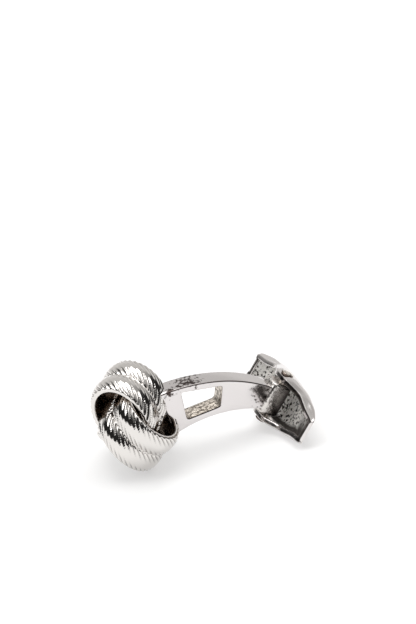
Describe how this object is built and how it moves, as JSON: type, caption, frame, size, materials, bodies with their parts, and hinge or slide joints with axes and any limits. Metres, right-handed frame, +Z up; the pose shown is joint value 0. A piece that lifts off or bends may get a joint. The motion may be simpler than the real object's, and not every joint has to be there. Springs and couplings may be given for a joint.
{
  "type": "knot cufflink",
  "caption": "Love knot cufflink: linked rope rings on an arched, windowed post with a swivelling whale back toggle. It fastens a cuff.",
  "frame": {"origin": "centre of the bounding box's footprint, on the surface that the cufflink lies on", "axes": "+X runs along the surface from the knot to the toggle, +Y along the toggle's length, +Z up"},
  "size_m": [0.028, 0.0178, 0.0134],
  "materials": {
    "cast_knot": "bright plated, dark in the hollows",
    "cast_post": "bright plated, smooth",
    "rivet": "plated, slightly dull",
    "cast_toggle": "bright plated outside, pitted inside"
  },
  "bodies": {
    "stud": {"knot": "cast_knot", "post": "cast_post"},
    "swivel": {"toggle": "cast_toggle", "pivot_pin": "rivet"}
  },
  "joints": [
    {"name": "toggle_swivel", "type": "hinge", "parent": "stud", "child": "swivel", "pos_m": [0.01002, -0.00007, 0.00401], "axis": [0.5707, -0.1167, 0.8128], "range_deg": [-78, 78]}
  ]
}
